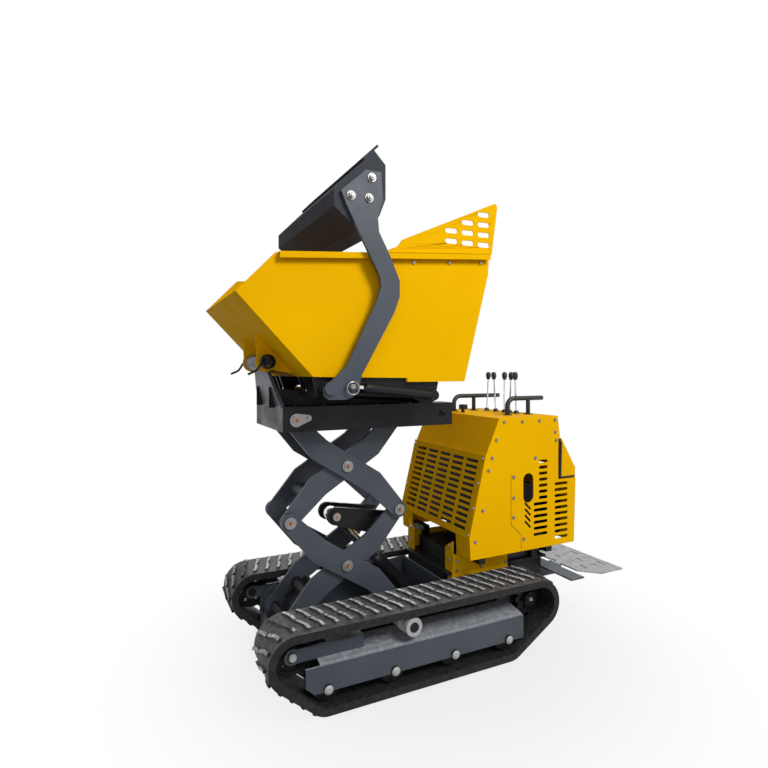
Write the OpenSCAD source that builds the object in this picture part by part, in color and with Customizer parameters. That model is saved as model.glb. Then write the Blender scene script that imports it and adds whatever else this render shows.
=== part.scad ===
// Tracked self-loading site dumper with a two-stage scissor lift under its skip.
// Frame: +X is forward (the tipping end), +Y is the machine's left, +Z is up.
// The origin is on the ground, below the middle of the machine's length and width.
// Stations along X are measured from the middle of the track wheelbase, then moved to the origin at the end.

/* [Undercarriage] */
// Distance between the idler and sprocket axles
wheelbase = 974; // [900:1:1050]
// Height of the idler and sprocket axles above the ground
axle_z = 193; // [185:1:205]
// Width over both tracks
overall_w = 742; // [730:1:800]
// Width of one rubber track
track_w = 180; // [170:1:190]
// Radius of the inside of the track on the idler and sprocket
wrap_r = 66; // [60:1:72]
// Thickness of the rubber belt without lugs
belt_t = 26; // [20:1:28]
// Height of a tread lug
lug_h = 9; // [6:1:15]
// Approximate pitch of the tread lugs
lug_pitch = 48; // [44:1:60]
// Radius of a track roller
roller_r = 52; // [46:1:54]
// Distance between neighbouring track rollers
roller_gap = 240; // [220:1:248]
// Station of the foremost track roller
roller_front_x = 381; // [360:1:390]

/* [Chassis] */
// Outside half width of the chassis rails
rail_y = 176; // [172:1:182]
// Thickness of the chassis plates
plate_t = 10; // [8:1:12]
// Height of the pan's rim
pan_top = 268; // [255:1:270]
// Height of the pan's floor
pan_floor = 96; // [90:1:104]

/* [Scissor lift] */
// Distance between the end pins of one scissor arm
arm_len = 569; // [560:1:575]
// Angle of the arms above the horizontal, as they stand
arm_angle = 40.3; // [39:0.1:41]
// Station of the front pins
scissor_x = 435; // [430:1:440]
// Height of the bottom pins
scissor_z = 192; // [188:1:196]
// Width of an arm at its middle
arm_w = 86; // [80:1:88]
// Width of an arm at its end pins
arm_end_w = 62; // [58:1:68]
// Offset of an arm's bends from the line of its pins
arm_bow = 18; // [12:1:20]
// Thickness of an arm plate
arm_t = 12; // [10:1:12]
// Radius of the scissor pins
pin_r = 14; // [12:0.5:16]
// Distance from the middle to the inner arms' inside
arm_inner_y = 92; // [90:1:96]
// Sideways gap between arms of the two pairs
arm_gap = 3; // [2:0.5:4]

/* [Deck and skip] */
// Half width of the lifting deck
deck_y = 190; // [186:1:196]
// Height of the deck's side rails
deck_h = 86; // [80:1:90]
// Station of the deck's rear end
deck_rear_x = -196; // [-200:1:-190]
// Station of the deck's front face
deck_front_x = 482; // [478:1:490]
// Station of the tipping hinge
hinge_x = 520; // [516:1:524]
// Height of the tipping hinge above the deck's top pins
hinge_up = 200; // [196:1:204]
// Half width of the skip, outside
skip_y = 306; // [300:1:308]
// Thickness of the skip's sheet
skip_t = 5; // [4:0.5:6]

/* [Shovel] */
// Distance of the shovel arms' inside from the middle
shovel_arm_y = 336; // [334:1:342]
// Thickness of a shovel arm
shovel_arm_t = 12; // [10:1:14]
// Thickness of the shovel's sheet
shovel_t = 6; // [5:0.5:8]

/* [Hood] */
// Half width of the hood, outside
hood_y = 270; // [262:1:276]
// Height of the hood's lower edge
hood_z = 372; // [366:1:378]
// Height of the console's top
hood_top = 910; // [890:1:930]
// Thickness of the hood's sheet
hood_t = 4; // [3:0.5:5]

/* [Step] */
// Height of the folding step's top face
step_z = 240; // [232:1:248]
// Station of the step's rear edge
step_rear_x = -990; // [-1010:1:-960]
// Half width of the step
step_y = 325; // [300:1:340]
// Thickness of the step plate
step_t = 6; // [5:0.5:8]

/* [Hidden] */
$fn = 48;
fit = 0.05;   // radial clearance of a pin in its bore
gap = 0.3;    // clearance between pieces that only seat on each other
lip_out = 141;
skip_lip_x = hinge_x + lip_out;
x_shift = -(skip_lip_x + step_rear_x) / 2;

// Shared shapes

// Moves a piece from the wheelbase's middle to the machine's origin.
module placed() {
    translate([x_shift, 0, 0]) children();
}
// A plate cut from a drawing in X and Z, from y0 to y0 + t.
module plate(y0, t) {
    translate([0, y0 + t, 0]) rotate([90, 0, 0]) linear_extrude(t) children();
}
// The same plate on both sides of the machine, y0 being its inside.
module plates(y0, t) {
    plate(y0, t) children();
    plate(-y0 - t, t) children();
}
// A round bar along Y from y0 to y0 + len.
module bar_y(x, z, r, y0, len) {
    translate([x, y0 + len, z]) rotate([90, 0, 0]) cylinder(h = len, r = r);
}
// The same bar on both sides.
module bars_y(x, z, r, y0, len) {
    bar_y(x, z, r, y0, len);
    bar_y(x, z, r, -y0 - len, len);
}
// A slot with round ends, centred, its length along X.
module slot2d(len, wide) {
    square([len - wide, wide], center = true);
    for (s = [-1, 1]) translate([s * (len - wide) / 2, 0]) circle(d = wide);
}
module box(x0, x1, y0, y1, z0, z1) {
    translate([x0, y0, z0]) cube([x1 - x0, y1 - y0, z1 - z0]);
}
// The same box on both sides of the machine.
module boxes(x0, x1, y0, y1, z0, z1) {
    box(x0, x1, y0, y1, z0, z1);
    box(x0, x1, -y1, -y0, z0, z1);
}

// Tracks

track_mid_y = overall_w / 2 - track_w / 2;
roller_z = roller_r + belt_t + lug_h;
rollers_x = [for (i = [0:3]) roller_front_x - i * roller_gap];
// Wheels that the track runs round, as [x, z, radius], counter-clockwise from the idler over the top.
wheels = [
    [wheelbase / 2, axle_z, wrap_r], [-wheelbase / 2, axle_z, wrap_r],
    [rollers_x[3], roller_z, roller_r], [rollers_x[0], roller_z, roller_r]
];
function wheel(i) = wheels[(i + 4) % 4];
function span_of(i) = [wheel(i + 1).x - wheel(i).x, wheel(i + 1).y - wheel(i).y];
// Angle of the outward normal on the straight run after wheel i.
function run_normal(i) =
    let (d = span_of(i)) atan2(d.y, d.x) - 90 + asin((wheel(i).z - wheel(i + 1).z) / norm(d));
function arc_turn(i) = (run_normal(i) - run_normal(i - 1) + 720) % 360;
function arc_len(i, h) = (wheel(i).z + h) * arc_turn(i) * PI / 180;
function run_len(i) = let (d = span_of(i), dr = wheel(i).z - wheel(i + 1).z) sqrt(d * d - dr * dr);
function loop_len(h) = arc_len(0, h) + arc_len(1, h) + arc_len(2, h) + arc_len(3, h)
    + run_len(0) + run_len(1) + run_len(2) + run_len(3);
// Point and outward angle at distance s along the loop, h outside the wrap radius: [x, z, angle].
function loop_at(s, h, i = 0) =
    let (a = arc_len(i, h), b = run_len(i), r = wheel(i).z + h, c = wheel(i))
    s < a ? let (n = run_normal(i - 1) + s / r * 180 / PI) [c.x + r * cos(n), c.y + r * sin(n), n]
    : s < a + b ? let (n = run_normal(i), k = s - a)
        [c.x + r * cos(n) - k * sin(n), c.y + r * sin(n) + k * cos(n), n]
    : loop_at(s - a - b, h, i + 1);
// Filled outline of the loop, h outside the wrap radius.
module loop2d(h) {
    polygon([for (i = [0:3], k = [0:facets(i)])
        let (w = wheel(i), n = run_normal(i - 1) + arc_turn(i) * k / facets(i)) [w.x + (w.z + h) * cos(n),
            w.y + (w.z + h) * sin(n)]]);
}
function facets(i) = max(4, round(arc_turn(i) / 7));
lug_sink = 3;
lug_wide = 12;
lug_lean = 20;
lug_inner = 4;
lug_outer = track_w / 2 - 18;
// Tread lug of the outer row, leaning to the rear as it goes outward, straight at its outer end.
module lug2d() {
    bend = lug_inner + 0.6 * (lug_outer - lug_inner);
    polygon([[lug_lean, lug_inner], [lug_lean + lug_wide, lug_inner], [lug_wide + 3, bend],
        [lug_wide, lug_outer], [0, lug_outer], [3, bend]]);
}
module track(side) {
    count = round(loop_len(belt_t) / lug_pitch);
    step = loop_len(belt_t) / count;
    color("#232325") {
        translate([0, side * track_mid_y, 0]) {
            plate(-track_w / 2, track_w) difference() {
                loop2d(belt_t);
                loop2d(0);
            }
            for (k = [0:count - 1], row = [-1, 1]) {
                p = loop_at((k + (row > 0 ? 0.5 : 0) + 0.01) * step, belt_t);
                translate([p.x, 0, p.y]) rotate([0, 90 - p.z, 0]) translate([0, 0, -lug_sink])
                    linear_extrude(lug_h + lug_sink) scale([1, side])
                    translate([-lug_wide, row > 0 ? 0 : -lug_inner - lug_outer]) lug2d();
            }
        }
    }
}

// Track frames, wheels and rollers

frame_in_y = track_mid_y - 34;
frame_out_y = track_mid_y + 74;
beam_front_x = wheelbase / 2 - 32;
beam_rear_x = 75 - wheelbase / 2;
sheet_front_x = wheelbase / 2 - wrap_r - 16;
beam_low = 78;
beam_high = 163;
sheet_up = 22;
idler_r = wrap_r - gap;
idler_w = 44;
axle_r = 15;
fork_t = 10;
fork_y = idler_w / 2 + 4 + fork_t;
fork_x = wheelbase / 2 - wrap_r - 51;
carrier_x = 74;
carrier_r = 36;
carrier_z = axle_z + wrap_r - carrier_r - gap;
side_t = 8;
module mirrored(side) {
    if (side > 0) children();
    else mirror([0, 1, 0]) children();
}
// One beam with its rollers' cheeks, the idler fork and the stay of the carrier roller.
module track_frame(side) {
    color("#4b505b") mirrored(side) {
        difference() {
            union() {
                plate(frame_out_y - side_t, side_t) polygon([
                    [beam_front_x, beam_high], [beam_front_x, beam_low + 26], [beam_front_x - 30, beam_low],
                    [beam_rear_x, beam_low], [beam_rear_x, beam_high]]);
                plate(frame_in_y, side_t) polygon([
                    [beam_front_x, beam_high + sheet_up], [beam_front_x, beam_low + 26],
                    [beam_front_x - 30, beam_low], [beam_rear_x, beam_low], [beam_rear_x,
                        beam_high + sheet_up]]);
            }
            for (x = rollers_x) bar_y(x, roller_z, axle_r + fit, 0, overall_w);
        }
        // sloping top sheet
        translate([beam_rear_x, 0, 0]) rotate([90, 0, 90]) linear_extrude(sheet_front_x - beam_rear_x)
            polygon([[frame_in_y + 2, beam_high + sheet_up], [frame_in_y + 2, beam_high + sheet_up - 8],
                [frame_out_y - 2, beam_high - 10], [frame_out_y - 2, beam_high - 2],
                [frame_out_y - side_t - 6, beam_high + 4]]);
        // idler fork: two cheeks and the tensioner block behind them
        difference() {
            for (y = [track_mid_y - fork_y, track_mid_y + fork_y - fork_t]) plate(y, fork_t) {
                translate([wheelbase / 2, axle_z]) circle(r = 26);
                translate([fork_x - 20, axle_z - 22]) square([wheelbase / 2 - fork_x + 20, 44]);
            }
            bar_y(wheelbase / 2, axle_z, axle_r + fit, 0, overall_w);
        }
        box(fork_x - 130, fork_x, track_mid_y - fork_y, track_mid_y + fork_y, axle_z - 20, axle_z + 20);
        // carrier roller's bracket and the drive motor's plate
        bar_y(carrier_x, carrier_z, 10, frame_in_y, track_mid_y - 24 - frame_in_y);
        box(carrier_x - 14, carrier_x + 14, frame_in_y, frame_in_y + side_t, beam_high, carrier_z + 10);
        difference() {
            plate(frame_in_y, side_t) {
                translate([-wheelbase / 2, axle_z]) circle(r = 58);
                translate([-wheelbase / 2, axle_z - 45]) square([120, 90]);
            }
            bar_y(-wheelbase / 2, axle_z, 40 + gap, 0, overall_w);
        }
    }
}
module idler(side) {
    color("#1d1d20") mirrored(side) translate([wheelbase / 2, track_mid_y, axle_z]) rotate([90, 0, 0])
    difference() {
        rotate_extrude($fn = 72) polygon([[0, -idler_w / 2 - 18], [axle_r, -idler_w / 2 - 18], [axle_r,
            -idler_w / 2 - 2],
            [30, -idler_w / 2 - 2], [30, -idler_w / 2 + 8], [idler_r - 12, -idler_w / 2 + 8],
                [idler_r - 12, -idler_w / 2],
            [idler_r, -idler_w / 2], [idler_r, idler_w / 2], [idler_r - 12, idler_w / 2], [idler_r - 12,
                idler_w / 2 - 8],
            [30, idler_w / 2 - 8], [30, idler_w / 2 + 2], [axle_r, idler_w / 2 + 2], [axle_r,
                idler_w / 2 + 18],
            [0, idler_w / 2 + 18]]);
        for (a = [0:60:300]) rotate([0, 0, a]) translate([42, 0, -idler_w]) cylinder(h = 2 * idler_w,
            r = 7);
    }
}
tooth_count = 11;
module sprocket(side) {
    color("#1d1d20") mirrored(side) translate([-wheelbase / 2, track_mid_y, axle_z]) rotate([90, 0, 0]) {
        difference() {
            translate([0, 0, -14]) linear_extrude(28) difference() {
                union() {
                    circle(r = idler_r - 14, $fn = 72);
                    for (k = [0:tooth_count - 1]) rotate(k * 360 / tooth_count)
                        polygon([[30, -12], [idler_r - 10, -11], [idler_r - 1, -6], [idler_r - 1, 6],
                            [idler_r - 10, 11], [30, 12]]);
                }
                for (a = [0:60:300]) rotate(a) translate([38, 0]) circle(r = 6);
            }
        }
        translate([0, 0, -30]) cylinder(h = 16, r = 28);
        // drive motor on the inner side, passing through the frame's plate
        translate([0, 0, 14]) cylinder(h = track_mid_y - frame_in_y - 14 + 30, r = 40);
    }
}
module rollers(side) {
    color("#26262a") mirrored(side) {
        for (x = rollers_x) translate([x, track_mid_y + 20, roller_z]) rotate([90, 0, 0])
            rotate_extrude($fn = 60)
            polygon([[0, -62], [axle_r, -62], [axle_r, -34], [roller_r - 4, -34], [roller_r - gap, -30],
                [roller_r - gap, -10],
                [roller_r - 14, -8], [roller_r - 14, 8], [roller_r - gap, 10], [roller_r - gap, 30],
                    [roller_r - 4, 34],
                [axle_r, 34], [axle_r, 62], [0, 62]]);
    }
    color("#c9c9c6") mirrored(side) translate([carrier_x, track_mid_y + 8 + gap, carrier_z]) rotate([90,
        0, 0])
        rotate_extrude() polygon([[0, -32], [carrier_r - 4, -32], [carrier_r, -28], [carrier_r, 28],
            [carrier_r - 4, 32], [0, 32]]);
}

// Chassis

bed_front_x = -184;
bed_rear_x = -690;
bed_top = 300;
cross_front_x = 300;
cross_rear_x = -250;
front_plate_x = 470;
lift_base = [-168, 112];
lift_ear_y = 37;
lift_ear_t = 12;
lift_pin_r = 15;
// Side rails, higher round the pan, with the cross beams to the track frames
// and the rear rails below the engine bed.
module chassis_frame() placed() {
    color("#3f434d") {
        plates(rail_y - plate_t, plate_t) polygon([
            [front_plate_x, pan_floor], [front_plate_x, 190], [front_plate_x - 34, 236],
                [front_plate_x - 70, 236],
            [front_plate_x - 110, 180], [210, 180], [190, pan_top - 36], [160, pan_top - 30],
            [bed_front_x, pan_top], [bed_front_x, pan_floor]]);
        for (x = [cross_front_x, cross_rear_x]) boxes(x - 40, x + 40, rail_y - 2, frame_in_y, 110, 172);
        boxes(bed_rear_x, bed_front_x + 4, rail_y - 60, rail_y, 120, 200);
    }
}
// Floor and end walls between the rails, with the ears of the lift cylinder and of the lower inner arms.
module chassis_pan() placed() {
    pan_y = rail_y - plate_t;
    color("#3f434d") difference() {
        union() {
            box(bed_front_x + 4, front_plate_x, -pan_y, pan_y, pan_floor, pan_floor + plate_t);
            box(bed_front_x + 4, bed_front_x + 4 + plate_t, -pan_y, pan_y, pan_floor, pan_top);
            box(front_plate_x - plate_t, front_plate_x, -pan_y, pan_y, pan_floor, 150);
            plates(lift_ear_y, lift_ear_t) {
                translate(lift_base) circle(r = 30);
                translate([lift_base.x - 12, pan_floor + 1]) square([60, lift_base.y - pan_floor - 1]);
            }
            plates(arm_inner_y + arm_t + arm_gap, plate_t) {
                translate([scissor_x, scissor_z]) circle(r = 34);
                translate([scissor_x - 33, pan_floor + 1]) square([66, scissor_z - pan_floor - 1]);
            }
        }
        bar_y(scissor_x, scissor_z, pin_r + fit, -pan_y, 2 * pan_y);
        bar_y(lift_base.x, lift_base.y, lift_pin_r + fit, -lift_ear_y - lift_ear_t - 6,
            2 * (lift_ear_y + lift_ear_t + 6));
        // well for the foot of the lift cylinder
        box(bed_front_x - 20, lift_base.x + 64, -lift_ear_y, lift_ear_y, pan_floor - 1, lift_base.y + 76);
    }
}
module engine_bed() placed() {
    color("#26282d") {
        box(bed_rear_x, bed_front_x - gap, -rail_y, rail_y, bed_top - plate_t, bed_top);
        boxes(bed_rear_x, bed_front_x - gap, rail_y - 40, rail_y - 30, 200, bed_top - plate_t);
        box(bed_rear_x, bed_rear_x + plate_t, -rail_y + 30, rail_y - 30, 200, bed_top - plate_t);
        box(bed_front_x - plate_t - gap, bed_front_x - gap, -rail_y + 30, rail_y - 30, 200,
            bed_top - plate_t);
        // posts and arms that carry the hood's sides
        for (x = [-300, -640]) {
            boxes(x, x + 30, rail_y - 24, rail_y, bed_top, hood_z + 20);
            boxes(x, x + 30, rail_y, hood_y - hood_t - gap, hood_z - 24, hood_z + 20);
        }
    }
}

// Scissor arms

rise = arm_len * sin(arm_angle);
reach = arm_len * cos(arm_angle);
outer_in_y = arm_inner_y + arm_t + arm_gap;
mid_z = scissor_z + rise;
top_z = scissor_z + 2 * rise;
rear_x = scissor_x - reach;
// Outline of one arm from its pin at a to its pin at b, narrow at its ends and flatter in its middle stretch.
module arm2d(a, b) {
    d = b - a;
    len = norm(d);
    bow = sign(d.x) * arm_bow;
    translate(a) rotate(atan2(d.y, d.x)) {
        for (x = [0, len]) translate([x, 0]) circle(d = arm_end_w);
        polygon([[0, -arm_end_w / 2], [len * 0.28, bow - arm_w / 2], [len * 0.72, -bow - arm_w / 2], [len,
            -arm_end_w / 2],
            [len, arm_end_w / 2], [len * 0.72, arm_w / 2 - bow], [len * 0.28, arm_w / 2 + bow], [0,
                arm_end_w / 2]]);
    }
}
module pin_head(x, z, y) {
    bars_y(x, z, 21, y, 6);
    bars_y(x, z, pin_r, y + 6, 3);
}
lever_pin = [238, 545];
lever_y = 38;
lever_t = 14;
tube_r = 22;
// Point at share k of the way from a to b.
function along(a, b, k) = a + k * (b - a);
front_low = [scissor_x, scissor_z];
rear_low = [rear_x, scissor_z];
front_mid = [scissor_x, mid_z];
rear_mid = [rear_x, mid_z];
front_top = [scissor_x, top_z];
rear_top = [rear_x, top_z];
module cross_tube(p, y) {
    bar_y(p.x, p.y, tube_r, -y, 2 * y);
}
// Flat plate between the arms of an inner pair, on the lower side of the line from a to b,
// from share k0 to share k1 of it.
module cross_plate(a, b, k0, k1) {
    d = b - a;
    translate([a.x, 0, a.y]) rotate([0, -atan2(d.y, d.x), 0])
        translate([k0 * norm(d), -arm_inner_y, 8]) cube([(k1 - k0) * norm(d), 2 * arm_inner_y, 8]);
}
// Inner pair of the lower stage: front bottom to rear middle, with the lift lever.
module lower_inner_arms() placed() {
    low_tube = along(front_low, rear_mid, 0.2);
    lever_foot = along(front_low, rear_mid, 0.86);
    color("#474d5a") {
        difference() {
            union() {
                plates(arm_inner_y, arm_t) arm2d(front_low, rear_mid);
                cross_tube(low_tube, arm_inner_y);
                cross_plate(front_low, rear_mid, 0.08, 0.27);
                bars_y(lever_foot.x, lever_foot.y, tube_r, lever_y + 5, arm_inner_y - lever_y - 5);
                plates(lever_y + 3, lever_t) {
                    translate(lever_pin) circle(r = 34);
                    polygon([lever_pin + [-8, 33], lever_pin + [8, -33], along(front_low, rear_mid, 0.80)
                        + [0, -24],
                        along(front_low, rear_mid, 0.95)]);
                }
            }
            bar_y(rear_x, mid_z, pin_r + fit, -200, 400);
            bar_y((scissor_x + rear_x) / 2, (scissor_z + mid_z) / 2, pin_r + fit, -200, 400);
        }
        bars_y(lever_pin.x, lever_pin.y, 22, lever_y + 3 + lever_t, 8);
    }
    color("#c9c9c6") bar_y(scissor_x, scissor_z, pin_r, -outer_in_y - plate_t - 8,
        2 * (outer_in_y + plate_t + 8));
}
// Outer pair of the lower stage: rear bottom, on rollers, to front middle.
module lower_outer_arms() placed() {
    color("#4b515e") difference() {
        plates(outer_in_y, arm_t) arm2d(rear_low, front_mid);
        bar_y(scissor_x, mid_z, pin_r + fit, -200, 400);
    }
    color("#c9c9c6") {
        mid = along(rear_low, front_mid, 0.5);
        bars_y(mid.x, mid.y, pin_r, arm_inner_y - 4, outer_in_y + arm_t - arm_inner_y + 4);
        pin_head(mid.x, mid.y, outer_in_y + arm_t);
        bars_y(rear_x, scissor_z, 26, outer_in_y + arm_t, rail_y - plate_t - outer_in_y - arm_t - 6);
    }
}
// Outer pair of the upper stage: rear middle to front top.
module upper_outer_arms() placed() {
    color("#4b515e") difference() {
        plates(outer_in_y, arm_t) arm2d(rear_mid, front_top);
        bar_y(scissor_x, top_z, pin_r + fit, -200, 400);
    }
    color("#c9c9c6") {
        mid = along(rear_mid, front_top, 0.5);
        for (p = [mid, rear_mid]) {
            bars_y(p.x, p.y, pin_r, arm_inner_y - 4, outer_in_y + arm_t - arm_inner_y + 4);
            pin_head(p.x, p.y, outer_in_y + arm_t);
        }
    }
}
// Inner pair of the upper stage: front middle to rear top, on rollers.
module upper_inner_arms() placed() {
    color("#474d5a") difference() {
        union() {
            plates(arm_inner_y, arm_t) arm2d(front_mid, rear_top);
            cross_tube(along(front_mid, rear_top, 0.2), arm_inner_y);
            cross_plate(front_mid, rear_top, 0.08, 0.27);
        }
        bar_y((scissor_x + rear_x) / 2, (mid_z + top_z) / 2, pin_r + fit, -200, 400);
    }
    color("#c9c9c6") {
        bars_y(scissor_x, mid_z, pin_r, arm_inner_y - 4, outer_in_y + arm_t - arm_inner_y + 4);
        pin_head(scissor_x, mid_z, outer_in_y + arm_t);
        bars_y(rear_x, top_z, 24, arm_inner_y + arm_t, deck_y - 12 - 6 - arm_inner_y - arm_t);
    }
}

// Lifting deck

deck_low = top_z - 40;
deck_high = deck_low + deck_h;
hinge_z = top_z + hinge_up;
hinge_r = 16;
hinge_half = 92;
tip_base = [-80, deck_high + 26];
tip_y = 150;
tip_ear = 24;
tip_pin_r = 12;
deck_t = 12;
lean = atan((hinge_x - deck_front_x) / (hinge_z - deck_high + 8));
lean_len = norm([hinge_x - deck_front_x, hinge_z - deck_high + 8]) - hinge_r - 4;
module deck_frame() placed() {
    color("#3f434d") difference() {
        union() {
            plates(deck_y - deck_t, deck_t) translate([deck_rear_x, deck_low])
                square([deck_front_x - deck_rear_x, deck_h]);
            // top and bottom flanges
            boxes(deck_rear_x, deck_front_x, deck_y - 90, deck_y - deck_t, deck_high - 8, deck_high);
            boxes(deck_rear_x, deck_front_x, deck_y - 40, deck_y - deck_t, deck_low, deck_low + 8);
            box(deck_front_x - deck_t, deck_front_x, -deck_y + deck_t, deck_y - deck_t, deck_low,
                deck_high - 8);
            box(deck_rear_x, deck_rear_x + deck_t, -deck_y + deck_t, deck_y - deck_t, deck_low,
                deck_high - 8);
            // inner ears that carry the upper outer arms
            plates(deck_y - 56, plate_t) translate([scissor_x - 36, deck_low])
                square([deck_front_x - deck_t - scissor_x + 36, deck_h - 8]);
            // tipping cylinders' ears on the flanges
            for (s = [-1, 1], e = [-1, 1]) translate([0, s * tip_y + e * (tip_ear + 5), 0]) plate(-5, 10) {
                translate(tip_base) circle(r = tip_pin_r + 10);
                polygon([tip_base + [-21, 0], [tip_base.x - 34, deck_high - 4], [tip_base.x + 34,
                    deck_high - 4], tip_base + [21, 0]]);
            }
            // leaning front plate up to the hinge tube
            translate([deck_front_x, 0, deck_high - 8]) rotate([0, lean, 0]) translate([-deck_t, 0, 0])
                rotate([90, 0, 90]) linear_extrude(deck_t) polygon([[4 - deck_y, -16], [deck_y - 4, -16],
                    [hinge_half - 5, lean_len], [5 - hinge_half, lean_len]]);
            bar_y(hinge_x, hinge_z, hinge_r + 12, -hinge_half, 2 * hinge_half);
        }
        bar_y(hinge_x, hinge_z, hinge_r + fit, -200, 400);
        bar_y(deck_rear_x + 46, deck_low + deck_h / 2, 15, -deck_y - 1, 2 * deck_y + 2);
        for (s = [-1, 1]) bar_y(tip_base.x, tip_base.y, tip_pin_r + fit, s * tip_y - 38, 76);
    }
    color("#c9c9c6") bars_y(scissor_x, top_z, pin_r, arm_inner_y + arm_t, deck_y + 8 - arm_inner_y - arm_t);
}

// Skip

rim_front = [hinge_x + 18, hinge_z + 340];
rim_rear = [hinge_x - 807, hinge_z + 409];
lip = [hinge_x + lip_out, hinge_z + 211];
rear_fold = [hinge_x - 802, hinge_z + 334];
floor_rear = [hinge_x - 694, hinge_z - 70];
floor_step = [hinge_x - 452, hinge_z - 56];
floor_front = [hinge_x - 106, hinge_z - 51];
rim_w = 20;
// Height of the floor's underside ahead of its step.
function floor_at(x) = floor_front.y - (floor_front.x - x) * (floor_front.y - floor_step.y)
    / (floor_front.x - floor_step.x);
ear_y = 98;
ear_t = 12;
module skip_side2d() {
    polygon([rim_front, rim_rear, rear_fold, floor_rear, [floor_step.x, floor_rear.y], floor_step,
        floor_front, lip]);
}
// Unit normal to the left of the step from a to b.
function left_of(a, b) = let (d = b - a) [-d.y, d.x] / norm(d);
// Strip of sheet of thickness t along the polyline p, to its left, filled where it turns right.
module strip2d(p, t) {
    for (i = [0:len(p) - 2]) let (n = left_of(p[i], p[i + 1]) * t)
        polygon([p[i], p[i + 1], p[i + 1] + n, p[i] + n]);
    for (i = [1:1:len(p) - 2]) if (cross(p[i] - p[i - 1], p[i + 1] - p[i]) < -1)
        polygon([p[i], p[i] + left_of(p[i - 1], p[i]) * t, p[i] + left_of(p[i], p[i + 1]) * t]);
}
// Where the lines a-b and c-d meet.
function meet(a, b, c, d) = a + (b - a) * cross(c - a, d - c) / cross(b - a, d - c);
// The polyline p moved to its left by t.
function inside(p, t) = [for (i = [0:len(p) - 1])
    let (n0 = left_of(p[max(i - 1, 0)], p[max(i, 1)]) * t, n1 = left_of(p[min(i, len(p) - 2)],
        p[min(i + 1, len(p) - 1)]) * t)
    i == 0 || i == len(p) - 1 ? p[i] + n0
    : meet(p[i - 1] + n0, p[i] + n0, p[i] + n1, p[i + 1] + n1)];
tub_line = [along(rear_fold, rim_rear, 1.2), rear_fold, floor_rear, [floor_step.x, floor_rear.y],
    floor_step, floor_front,
    along(floor_front, lip, 1.1)];
module skip_tub() placed() {
    color("#f2b90c") {
        difference() {
            plate(-skip_y, 2 * skip_y) skip_side2d();
            plate(-skip_y + skip_t, 2 * (skip_y - skip_t)) polygon(concat(inside(tub_line, skip_t),
                [[skip_lip_x + 60, rim_rear.y + 300], [rim_rear.x - 60, rim_rear.y + 300]]));
        }
        // folded rim along both sides
        plates(skip_y - 2, 2 + rim_w) strip2d([along(rim_front, rim_rear, 0.01), along(rim_front,
            rim_rear, 0.99)], 4);
        plates(skip_y + rim_w - 4, 4) strip2d([along(rim_front, rim_rear, 0.01), along(rim_front,
            rim_rear, 0.99)], 20);
        // ears under the front slope that carry the tipping hinge
        plates(ear_y, ear_t) {
            translate([hinge_x, hinge_z]) circle(r = 34);
            polygon([[hinge_x - 20, hinge_z - 27], [hinge_x + 30, hinge_z + 17], [hinge_x + 36,
                hinge_z + 102.6],
                floor_front + [6, 9]]);
        }
    }
    color("#c9c9c6") bar_y(hinge_x, hinge_z, hinge_r, -ear_y - ear_t - 10, 2 * (ear_y + ear_t + 10));
}

// Yellow slotted guard that stands on the rear of each side's rim, with a bolted foot.
guard_t = 4;
guard_h = 198;
guard_in = skip_y + 2;
function rim_at(k, up) = along(rim_front, rim_rear, k) + [0, up];
module skip_guard() placed() {
    color("#f2b90c") {
        plates(guard_in, guard_t) difference() {
            polygon([rim_at(0.47, 0), rim_at(0.47, 10), rim_at(0.50, 15), rim_at(0.525, 30), rim_at(0.54,
                48),
                rim_rear + [-14, guard_h - 4], rim_rear + [-26, guard_h], rim_rear + [-35, guard_h - 12],
                    rim_at(1.01, 0)]);
            for (row = [0:3], k = [0:min(row, 2)])
                translate([rim_rear.x + 30 + k * 72, rim_rear.y + 148 - row * 38]) rotate(-2) slot2d(52,
                    18);
        }
        plates(guard_in + guard_t, rim_w - 4) strip2d([rim_at(0.99, 0), rim_at(0.48, 0)], guard_t);
    }
}

// Frame under the skip that carries the shovel and both kinds of cylinder

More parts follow.
